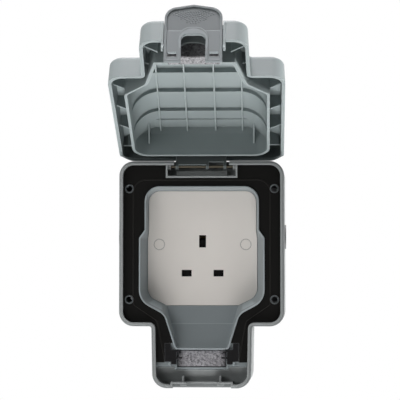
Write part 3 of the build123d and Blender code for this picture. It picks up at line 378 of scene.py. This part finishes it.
def moulded(name, colour, roughness=(0.42, 0.56), grain=GRAIN, depth=0.035, edge=EDGE, edge_highlight=1.18,
            spread=0.05, specular=0.25, marks=(), top_marks=()):
    """Injection-moulded plastic: satin, with fine grain, slight tone drift and a painted highlight on its
    sharp edges.

    Each of its marks and top marks is a mask, made in the material's own tree, and the share of the colour
    it leaves. Top marks cover the painted edge highlight too.
    """
    material, tree, shader = new_material(name)
    surface = tree.nodes.new("ShaderNodeGroup")
    surface.node_tree = MOULDING
    surface.inputs["Grain"].default_value = grain
    surface.inputs["Edge"].default_value = edge
    body = mix_colour(tree, surface.outputs["Tone"], scaled(colour, 1 - spread), scaled(colour, 1 + spread))
    for mask, share in marks:
        body = mix_colour(tree, mask(tree), body, scaled(colour, share))
    # Painted highlight: the sharp edges get a lighter colour
    body = mix_colour(tree, surface.outputs["Edges"], body, scaled(colour, edge_highlight))
    for mask, share in top_marks:
        body = mix_colour(tree, mask(tree), body, scaled(colour, share))
    tree.links.new(body, shader.inputs["Base Color"])
    tree.links.new(map_range(tree, surface.outputs["Gloss"], *roughness), shader.inputs["Roughness"])
    shader.inputs["Specular IOR Level"].default_value = specular
    bevel = tree.nodes.new("ShaderNodeBevel")
    bevel.samples = BEVEL_SAMPLES
    bevel.inputs["Radius"].default_value = edge
    bump = bump_node(tree, surface.outputs["Height"], depth, GRAIN_DEPTH)
    tree.links.new(bevel.outputs["Normal"], bump.inputs["Normal"])
    tree.links.new(bump.outputs["Normal"], shader.inputs["Normal"])
    return material


STREAK_DETAIL = 3.0
STREAK_DARK = 0.82
STREAK_LIGHT = 1.12


def metal(name, colour, roughness=(0.25, 0.4), streaks=(900.0, 900.0, 60.0)):
    """Drawn or plated metal with fine streaks along one way."""
    material, tree, shader = new_material(name)
    stretch = tree.nodes.new("ShaderNodeMapping")
    stretch.inputs["Scale"].default_value = streaks
    tree.links.new(object_place(tree), stretch.inputs["Vector"])
    streak = noise_node(tree, stretch.outputs[0], 1.0, STREAK_DETAIL)
    body = mix_colour(tree, streak, scaled(colour, STREAK_DARK), scaled(colour, STREAK_LIGHT))
    tree.links.new(body, shader.inputs["Base Color"])
    shader.inputs["Metallic"].default_value = 1.0
    tree.links.new(map_range(tree, streak, *roughness), shader.inputs["Roughness"])
    return material


FOAM_CELLS = 1200.0
PORE_SHARE = 0.605
PATCH_SCALE = 0.5
PATCH_DETAIL = 4.0
PATCH_RANGE = (-0.8, 1.75)
PATCH_SHARE = 0.6
SHADE_SHARE = 0.45
FOAM_ROUGHNESS = 0.95
FOAM_SPECULAR = 0.1
FOAM_BUMP = 0.5
FOAM_BUMP_DEPTH = 0.6 * MM


def foam(name, dark, light, painted_shade):
    """Open-cell foam: bright struts between dark pores at two sizes, darker where shade is painted on."""
    material, tree, shader = new_material(name)
    place = object_place(tree)
    cells = tree.nodes.new("ShaderNodeTexVoronoi")
    cells.inputs["Scale"].default_value = FOAM_CELLS
    tree.links.new(place, cells.inputs["Vector"])
    patches = map_range(tree, noise_node(tree, place, FOAM_CELLS * PATCH_SCALE, PATCH_DETAIL), *PATCH_RANGE)
    level = math_node(tree, "ADD", math_node(tree, "MULTIPLY", cells.outputs["Distance"], PORE_SHARE),
                      math_node(tree, "MULTIPLY", patches, PATCH_SHARE), clamp=True)
    unshaded_colour = mix_colour(tree, level, dark, light)
    # Painted shade: a darker copy of the foam's colours, laid on where the mask says
    shaded_colour = mix_colour(tree, level, scaled(dark, SHADE_SHARE), scaled(light, SHADE_SHARE))
    tree.links.new(mix_colour(tree, painted_shade(tree), unshaded_colour, shaded_colour), shader.inputs["Base Color"])
    shader.inputs["Roughness"].default_value = FOAM_ROUGHNESS
    shader.inputs["Specular IOR Level"].default_value = FOAM_SPECULAR
    bump = bump_node(tree, level, FOAM_BUMP, FOAM_BUMP_DEPTH)
    tree.links.new(bump.outputs["Normal"], shader.inputs["Normal"])
    return material


# Places of the marks. A fade is where a mark is full and where it is gone, a span where it starts and ends.
# Heights and outs of the lid and latch are those of the closed lid: up the box, and out from the box's rim.
SPAN_EASE = 0.3 * MM
CAP_X = 30.15 * MM
CAP_RADIUS = 3.65 * MM
CAP_JOINT_FADE = (0.1 * MM, 0.4 * MM)
FIXING_X = 50.0 * MM
FIXING_Z = 38.2 * MM
COLLAR_FADE = (3.1 * MM, 3.2 * MM)
COLLAR_FRONT_FADE = (-46.4 * MM, -46.2 * MM)
FOLD_Z = -54.9 * MM
FOLD_FADE = (0.15 * MM, 0.5 * MM)
FOLD_FRONT_FADE = (-37.4 * MM, -37.8 * MM)
LID_INSIDE_FADE = (13.0 * MM, 13.4 * MM)
LID_CORNER_X = 46.7 * MM
LID_CORNER_Z = 47.0 * MM
LID_CORNER_FADE = (8.3 * MM, 8.6 * MM)
GUTTER_SPAN = (43.4 * MM, 55.4 * MM)
ARCH_WALL_SPAN = (-93.0 * MM, -88.6 * MM)
ARCH_WALL_FADE = (18.0 * MM, 18.4 * MM)
CREASE_FADE = (7.7 * MM, 8.1 * MM)
BROW_OUT = -0.4 * MM
BROW_FADE = (9.2 * MM, 9.6 * MM)
SLOT_X = 12.8 * MM
SLOT_HALF_WIDTH = 2.6 * MM
SLOT_FOOT = -10.8 * MM
SLOT_HEAD = -8.0 * MM
SLOT_EASE = 0.1 * MM
SLOT_WALL_SPAN = (SLOT_FOOT - 0.1 * MM, SLOT_HEAD - 0.3 * MM)
SLOT_EDGE_SPAN = (SLOT_HEAD - 0.1 * MM, SLOT_HEAD + 0.3 * MM)
SLOT_SHADOW_SPAN = (SLOT_FOOT - 3.0 * MM, SLOT_HEAD + 1.0 * MM)
SLOT_SHADOW_MARGIN = 0.8 * MM
FOAM_END_FADE = (-88.4 * MM, -87.4 * MM)
FOAM_SIDE_FADE = (16.6 * MM, 12.0 * MM)


def along_axis(tree, axis, offset=0.0):
    """How far the surface lies along a direction of the object, in metres, past an offset."""
    node = tree.nodes.new("ShaderNodeVectorMath")
    node.operation = "DOT_PRODUCT"
    tree.links.new(object_place(tree), node.inputs[0])
    node.inputs[1].default_value = axis
    return math_node(tree, "SUBTRACT", node.outputs["Value"], offset)


def off_middle(tree, axis):
    return math_node(tree, "ABSOLUTE", along_axis(tree, axis))


def lid_height(tree):
    return along_axis(tree, ALONG, PIN.dot(ALONG) - PIN.z)


def lid_out(tree):
    return along_axis(tree, OUT, PIN.dot(OUT) + RIM_TO_PIN)


def within(tree, value, low, high, ease=SPAN_EASE):
    """1 between two limits, easing to 0 outside them."""
    return product(tree, fade(tree, value, high, high + ease), fade(tree, value, low, low - ease))


def mirrored_reach(tree, x, z):
    """Distance, seen from the front, to the nearest of the points at plus or minus x and z."""
    return reach_of(tree, *[math_node(tree, "SUBTRACT", off_middle(tree, axis), place)
                            for axis, place in ((ACROSS, x), (UP, z))])


def cap_joints(tree):
    """The dark joint round the two screw caps."""
    off_line = math_node(tree, "SUBTRACT", mirrored_reach(tree, CAP_X, 0.0), CAP_RADIUS)
    return fade(tree, math_node(tree, "ABSOLUTE", off_line), *CAP_JOINT_FADE)


def collar_tops(tree):
    """The four collars in the gasket, which are darker than the rest of the frame."""
    return product(tree, fade(tree, mirrored_reach(tree, FIXING_X, FIXING_Z), *COLLAR_FADE),
                   fade(tree, along_axis(tree, DEPTH), *COLLAR_FRONT_FADE))


def chute_fold_highlight(tree):
    """Painted highlight along the line where the chute folds."""
    off_fold = math_node(tree, "ABSOLUTE", along_axis(tree, UP, FOLD_Z))
    return product(tree, fade(tree, off_fold, *FOLD_FADE),
                   fade(tree, along_axis(tree, DEPTH), *FOLD_FRONT_FADE))


def lid_inside(tree):
    """1 in the gutter and the recess of the lid, easing to 0 through their ceiling."""
    return fade(tree, lid_out(tree), *LID_INSIDE_FADE)


def hinge_gutter_shade(tree):
    """Painted shade in the deep gutter along the lid's hinge, which hardly sees any light."""
    height = lid_height(tree)
    past_corner = [math_node(tree, "MAXIMUM", math_node(tree, "SUBTRACT", way, centre), 0.0)
                   for way, centre in ((off_middle(tree, ACROSS), LID_CORNER_X), (height, LID_CORNER_Z))]
    return product(tree, within(tree, height, *GUTTER_SPAN),
                   fade(tree, reach_of(tree, *past_corner), *LID_CORNER_FADE), lid_inside(tree))


def arch_wall_shade(tree):
    """Painted shade on the wall behind the latch's arch."""
    return product(tree, within(tree, lid_height(tree), *ARCH_WALL_SPAN),
                   fade(tree, off_middle(tree, ACROSS), *ARCH_WALL_FADE), lid_inside(tree))


def latch_foot_light(tree):
    """Painted light on the plain lower half of the latch, below its crease."""
    return fade(tree, lid_out(tree), *CREASE_FADE)


def arch_brow_highlight(tree):
    """Painted highlight on the brow over the latch's arch."""
    above = math_node(tree, "SUBTRACT", lid_out(tree), BROW_OUT)
    return fade(tree, reach_of(tree, along_axis(tree, ACROSS), above), *BROW_FADE)


def at_slots(tree, margin):
    """1 within the width of the two hook slots and a margin beside them."""
    off_slot = math_node(tree, "SUBTRACT", off_middle(tree, ACROSS), SLOT_X)
    half = SLOT_HALF_WIDTH + margin
    return fade(tree, math_node(tree, "ABSOLUTE", off_slot), half, half + SLOT_EASE)


def slot_walls_shade(tree):
    """Painted shade on the sides and foot of the hook slots, which see no light."""
    return product(tree, at_slots(tree, SLOT_EASE), within(tree, lid_out(tree), *SLOT_WALL_SPAN, SLOT_EASE))


def slot_head_highlight(tree):
    """Painted highlight at the head of the hook slots."""
    return product(tree, at_slots(tree, 0.0), within(tree, lid_out(tree), *SLOT_EDGE_SPAN, SLOT_EASE))


def behind_slots_shade(tree):
    """Painted shade on the lid's wall behind the hook slots."""
    return product(tree, at_slots(tree, SLOT_SHADOW_MARGIN), within(tree, lid_height(tree), *ARCH_WALL_SPAN),
                   within(tree, lid_out(tree), *SLOT_SHADOW_SPAN))


def foam_end_shade(tree):
    """Painted shade on the end of the lid's foam, behind the arch."""
    return fade(tree, lid_height(tree), *FOAM_END_FADE)


def foam_sides_shade(tree):
    """Painted shade on the ends of the box's foam, under the clips."""
    return fade(tree, off_middle(tree, ACROSS), *FOAM_SIDE_FADE)


BOX_GREY = moulded("box_grey", (0.241, 0.255, 0.255), edge=0.9 * MM, edge_highlight=1.75)
# The frame's fold line carries a painted highlight
FRAME_GREY = moulded("frame_grey", (0.268, 0.300, 0.312), edge=0.7 * MM, edge_highlight=1.6,
                     marks=[(chute_fold_highlight, 1.25)], top_marks=[(collar_tops, 0.5)])
# Painted shade in the lid's hinge gutter, on the wall behind the latch's arch and behind the hook slots
LID_GREY = moulded("lid_grey", (0.247, 0.285, 0.287), edge_highlight=1.55, marks=[(hinge_gutter_shade, 0.40)],
                   top_marks=[(arch_wall_shade, 0.40), (behind_slots_shade, 0.06)])
# Painted light on the latch: a lighter foot, highlights on the brow and slot heads, shade in the slots
LATCH_GREY = moulded("latch_grey", (0.138, 0.157, 0.162), edge=0.7 * MM, edge_highlight=1.6,
                     marks=[(latch_foot_light, 1.22), (arch_brow_highlight, 1.6)],
                     top_marks=[(slot_walls_shade, 0.1), (slot_head_highlight, 3.0)])
GRIP_GREY = moulded("grip_grey", (0.150, 0.170, 0.176), edge=0.1 * MM, edge_highlight=1.1)
GASKET_BLACK = moulded("gasket_black", (0.0062, 0.0060, 0.0056), roughness=(0.7, 0.85), grain=3500.0,
                       depth=0.05, edge=0.4 * MM, edge_highlight=7.0, spread=0.25, specular=0.08)
PLATE_WHITE = moulded("plate_white", (0.82, 0.780, 0.735), roughness=(0.38, 0.48), depth=0.015,
                      edge=0.3 * MM, edge_highlight=1.04, spread=0.02, marks=[(cap_joints, 0.10)])
SHUTTER_BLACK = moulded("shutter_black", (0.004, 0.0036, 0.0034), roughness=(0.5, 0.6), spread=0.2,
                        specular=0.1)
CLIP_BLACK = moulded("clip_black", (0.006, 0.006, 0.0065), roughness=(0.5, 0.65), edge_highlight=12.0, spread=0.3,
                     specular=0.1)
PLUG_GREY = moulded("plug_grey", (0.40, 0.415, 0.415), roughness=(0.28, 0.36), specular=0.5)
PIN_BRASS = metal("pin_brass", (0.095, 0.085, 0.065), roughness=(0.5, 0.65), streaks=(60.0, 1500.0, 1500.0))
# The contacts' brass is darkened as painted shade, for their place deep in the socket
CONTACT_BRASS = metal("contact_brass", (0.12, 0.09, 0.05), roughness=(0.45, 0.6))
SCREW_STEEL = metal("screw_steel", (0.60, 0.60, 0.62))
# The darker ends of both foams are painted shade
BASE_FOAM = foam("base_foam", (0.04, 0.04, 0.042), (0.53, 0.52, 0.55), painted_shade=foam_sides_shade)
LID_FOAM = foam("lid_foam", (0.06, 0.060, 0.062), (0.42, 0.42, 0.435), painted_shade=foam_end_shade)

FINISHES = {
    "back_box": BOX_GREY, "front_frame": FRAME_GREY, "lid": LID_GREY, "latch": LATCH_GREY,
    "gasket": GASKET_BLACK, "socket_plate": PLATE_WHITE, "screw_caps": PLATE_WHITE,
    "socket_body": SHUTTER_BLACK, "shutter": SHUTTER_BLACK, "foam_holder_left": CLIP_BLACK,
    "foam_holder_right": CLIP_BLACK, "hinge_pin": PIN_BRASS,
    "earth_contact": CONTACT_BRASS, "line_contact": CONTACT_BRASS, "neutral_contact": CONTACT_BRASS,
    "screw_inserts": CONTACT_BRASS, "plate_screws": SCREW_STEEL, "terminal_screws": SCREW_STEEL,
    "body_screws": SCREW_STEEL, "shutter_spring": SCREW_STEEL, "entry_plug_left": PLUG_GREY,
    "entry_plug_right": PLUG_GREY, "entry_seals": GASKET_BLACK, "base_foam": BASE_FOAM, "lid_foam": LID_FOAM,
}


def finish_nodes():
    for name, material in FINISHES.items():
        mesh = nodes[name].data
        mesh.materials.clear()
        mesh.materials.append(material)


def new_piece(name, mesh):
    piece = bpy.data.objects.new(name, mesh)
    scene.collection.objects.link(piece)
    return piece


def smooth_faces(mesh):
    for face in mesh.polygons:
        face.use_smooth = True


def finished_mesh(name, shape, material):
    """Plain mesh of a worked shape, with its finish."""
    mesh = bpy.data.meshes.new(name)
    shape.to_mesh(mesh)
    shape.free()
    mesh.materials.append(material)
    return mesh


FOAM_STEP = 0.36 * MM
FOAM_ROUNDING = 0.9 * MM
PORE_SIZE = 1.5 * MM
PORE_DEPTH = 0.55 * MM
FINE_PORE_SHARE = 0.35
FINE_PORE_SCALE = 2.3
SKIN_SIZE = 4.0 * MM
SKIN_DEPTH = 0.35 * MM


def foam_point(place, size):
    """A point of a box's surface, moved in to rounded edges, shallow hollows and open pores."""
    core = Vector([min(max(value, FOAM_ROUNDING), side - FOAM_ROUNDING) for value, side in zip(place, size)])
    outward = (place - core).normalized()
    hollow = 0.5 + 0.5 * noise.noise(place / SKIN_SIZE)
    fine_pore = noise.noise(place * FINE_PORE_SCALE / PORE_SIZE)
    pore = max(0.0, noise.noise(place / PORE_SIZE) + FINE_PORE_SHARE * fine_pore)
    return core + outward * (FOAM_ROUNDING - SKIN_DEPTH * hollow - PORE_DEPTH * min(1.0, pore))


def foam_block(name, corner, sides, size, material):
    """Closed foam block from a corner along three sides, as a fine lattice over its surface."""
    counts = [max(2, round(length / FOAM_STEP)) for length in size]
    shell = bmesh.new()
    found = {}

    def vertex(*steps):
        if steps not in found:
            place = Vector([length * step / count for length, step, count in zip(size, steps, counts)])
            moved = foam_point(place, size)
            from_corner = sum((side * way for side, way in zip(sides, moved)), Vector())
            found[steps] = shell.verts.new(corner + from_corner)
        return found[steps]

    for fixed in range(3):
        first, second = [axis for axis in range(3) if axis != fixed]
        for end in (0, counts[fixed]):
            for i in range(counts[first]):
                for j in range(counts[second]):
                    loop = []
                    for u, v in ((i, j), (i + 1, j), (i + 1, j + 1), (i, j + 1)):
                        steps = [end] * 3
                        steps[first], steps[second] = u, v
                        loop.append(vertex(*steps))
                    shell.faces.new(loop)
    bmesh.ops.recalc_face_normals(shell, faces=shell.faces)
    mesh = finished_mesh(name, shell, material)
    smooth_faces(mesh)
    return new_piece(name, mesh)


def node_block(node, sides):
    """Lowest corner and size of a node's solid along three directions."""
    points = [vertex.co for vertex in nodes[node].data.vertices]
    reaches = [[point.dot(side) for point in points] for side in sides]
    corner = sum((side * min(reach) for side, reach in zip(sides, reaches)), Vector())
    return corner, Vector([max(reach) - min(reach) for reach in reaches])


def fill_foam():
    sides = [ACROSS, DEPTH, UP]
    corner, size = node_block("base_foam", sides)
    piece = foam_block("base_foam_block", corner, sides, size, BASE_FOAM)
    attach(piece, "base")
    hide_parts("base_foam")
    sides = [ACROSS, ALONG, OUT]
    corner, size = node_block("lid_foam", sides)
    piece = foam_block("lid_foam_block", corner, sides, size, LID_FOAM)
    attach(piece, "lid")
    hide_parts("lid_foam")


MERGE_REACH = 0.001 * MM


def wind_spring():
    """The coil under the shutter, made from a merged copy of its part and fixed to the base; the real coil
    shortens as the shutter slides down on it.
    """
    coil = bmesh.new()
    coil.from_mesh(nodes["shutter_spring"].data)
    bmesh.ops.remove_doubles(coil, verts=coil.verts, dist=MERGE_REACH)
    bmesh.ops.recalc_face_normals(coil, faces=coil.faces)
    mesh = finished_mesh("shutter_coil", coil, SCREW_STEEL)
    smooth_faces(mesh)
    piece = new_piece("shutter_coil", mesh)
    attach(piece, "base")
    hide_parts("shutter_spring")
    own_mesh(piece)


# Fingers of the foam clips: each row's foot and how far it reaches over the foam
TOOTH_ROWS = ((-78.7 * MM, 2.9 * MM), (-75.0 * MM, 2.0 * MM))
TOOTH_HEIGHT = 1.2 * MM
TOOTH_ROOT = 16.3 * MM
TOOTH_FRONT = -46.2 * MM
TOOTH_BACK = -45.2 * MM
TOOTH_ROUNDING = 0.2 * MM


def cut_clip_teeth():
    """The short fingers of the two clips that reach over the ends of the foam."""
    teeth = bmesh.new()
    for side in (-1, 1):
        for foot, reach in TOOTH_ROWS:
            tooth = bmesh.ops.create_cube(teeth, size=1.0)["verts"]
            bmesh.ops.scale(teeth, vec=Vector((reach, TOOTH_BACK - TOOTH_FRONT, TOOTH_HEIGHT)), verts=tooth)
            middle = Vector((side * (TOOTH_ROOT - reach / 2), (TOOTH_FRONT + TOOTH_BACK) / 2,
                             foot + TOOTH_HEIGHT / 2))
            bmesh.ops.translate(teeth, vec=middle, verts=tooth)
    bmesh.ops.bevel(teeth, geom=teeth.edges[:], offset=TOOTH_ROUNDING, segments=2, profile=0.5,
                    affect="EDGES")
    piece = new_piece("clip_teeth", finished_mesh("clip_teeth", teeth, CLIP_BLACK))
    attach(piece, "base")


# Grip dots of the latch: rows of arcs round a centre, kept under the crown and inside the rounded corners
GRIP_HEIGHT = -97.8 * MM
GRIP_CENTRE = 6.0 * MM
GRIP_ROW = 1.35 * MM
GRIP_ROWS = 9
GRIP_INNER = 7.6 * MM
GRIP_SPARSE = 12.0 * MM
GRIP_TURN = radians(6.0)
GRIP_STEPS = 12
GRIP_FOOT = 13.6 * MM
GRIP_FLARE = 1.45
GRIP_NECK = 3.6 * MM
GRIP_HALF = 12.6 * MM
GRIP_CROWN = 24.3 * MM
GRIP_CROWN_FALL = 0.17
GRIP_CORNER_X = 9.8 * MM
GRIP_CORNER_OUT = 16.4 * MM
GRIP_CORNER_RADIUS = 5.8 * MM
DOT_RADIUS = 0.55 * MM
DOT_HEIGHT = 0.27 * MM
DOT_SEGMENTS = 10
DOT_RINGS = 6


def lid_place(x, height, out):
    """A point of the open lid from its place on the closed one, out from the box's rim."""
    return PIN + ACROSS * x + ALONG * (height - PIN.z) + OUT * (out + RIM_TO_PIN)


def on_grip(x, out):
    """Whether a dot at a place on the latch is inside the grip's outline."""
    x = abs(x)
    half = min(GRIP_HALF, GRIP_NECK + GRIP_FLARE * (out - GRIP_FOOT))
    past_corner = Vector((max(0.0, x - GRIP_CORNER_X), max(0.0, out - GRIP_CORNER_OUT)))
    return x <= half and out < GRIP_CROWN - GRIP_CROWN_FALL * x and past_corner.length < GRIP_CORNER_RADIUS


def grip_places():
    """Centres of the latch's grip dots: arcs that fan out under its crown, sparser on the inner rows."""
    places = []
    for row in range(GRIP_ROWS):
        radius = GRIP_INNER + row * GRIP_ROW
        skip = 2 if radius < GRIP_SPARSE else 1
        for step in range(-GRIP_STEPS, GRIP_STEPS + 1):
            if (step + row) % skip:
                continue
            angle = (step + 0.5 * (row % 2)) * GRIP_TURN
            x = radius * sin(angle)
            out = GRIP_CENTRE + radius * cos(angle)
            if on_grip(x, out):
                places.append(lid_place(x, GRIP_HEIGHT, out))
    return places


def make_grip_tree():
    """Sets a low dome on every point of a mesh, turned to face one way."""
    tree = bpy.data.node_groups.new("grip_dots", "GeometryNodeTree")
    for label, kind in (("Points", "NodeSocketGeometry"), ("Dot radius", "NodeSocketFloat"),
                        ("Dot height", "NodeSocketFloat"), ("Facing", "NodeSocketVector"),
                        ("Finish", "NodeSocketMaterial")):
        tree.interface.new_socket(name=label, in_out="INPUT", socket_type=kind)
    tree.interface.new_socket(name="Dots", in_out="OUTPUT", socket_type="NodeSocketGeometry")
    given = tree.nodes.new("NodeGroupInput")
    out = tree.nodes.new("NodeGroupOutput")
    ball = tree.nodes.new("GeometryNodeMeshUVSphere")
    ball.inputs["Segments"].default_value = DOT_SEGMENTS
    ball.inputs["Rings"].default_value = DOT_RINGS
    ball.inputs["Radius"].default_value = 1.0
    size = tree.nodes.new("ShaderNodeCombineXYZ")
    for axis, label in (("X", "Dot radius"), ("Y", "Dot radius"), ("Z", "Dot height")):
        tree.links.new(given.outputs[label], size.inputs[axis])
    turn = tree.nodes.new("FunctionNodeAlignRotationToVector")
    turn.axis = "Z"
    tree.links.new(given.outputs["Facing"], turn.inputs["Vector"])
    spread = tree.nodes.new("GeometryNodeInstanceOnPoints")
    tree.links.new(given.outputs["Points"], spread.inputs["Points"])
    tree.links.new(ball.outputs["Mesh"], spread.inputs["Instance"])
    tree.links.new(turn.outputs["Rotation"], spread.inputs["Rotation"])
    tree.links.new(size.outputs["Vector"], spread.inputs["Scale"])
    real = tree.nodes.new("GeometryNodeRealizeInstances")
    tree.links.new(spread.outputs["Instances"], real.inputs["Geometry"])
    paint = tree.nodes.new("GeometryNodeSetMaterial")
    tree.links.new(real.outputs["Geometry"], paint.inputs["Geometry"])
    tree.links.new(given.outputs["Finish"], paint.inputs["Material"])
    tree.links.new(paint.outputs["Geometry"], out.inputs["Dots"])
    return tree


def set_grip_dots():
    points = bpy.data.meshes.new("grip_points")
    points.from_pydata(grip_places(), [], [])
    maker = new_piece("grip_points", points)
    tree = make_grip_tree()
    modifier = maker.modifiers.new("grip_dots", "NODES")
    modifier.node_group = tree
    given = {"Dot radius": DOT_RADIUS, "Dot height": DOT_HEIGHT, "Facing": tuple(-ALONG),
             "Finish": GRIP_GREY}
    for socket in tree.interface.items_tree:
        if socket.in_out == "INPUT" and socket.name in given:
            modifier[socket.identifier] = given[socket.name]
    bpy.context.view_layer.update()
    mesh = bpy.data.meshes.new_from_object(maker.evaluated_get(bpy.context.evaluated_depsgraph_get()))
    mesh.name = "latch_grip"
    maker.modifiers.remove(modifier)
    bpy.data.objects.remove(maker)
    smooth_faces(mesh)
    piece = new_piece("latch_grip", mesh)
    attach(piece, "latch")


place_camera()
light_world()
lay_floor()
back_with_wall()
hang_lamps()
finish_nodes()
fill_foam()
wind_spring()
cut_clip_teeth()
set_grip_dots()

scene.view_settings.view_transform = "Standard"
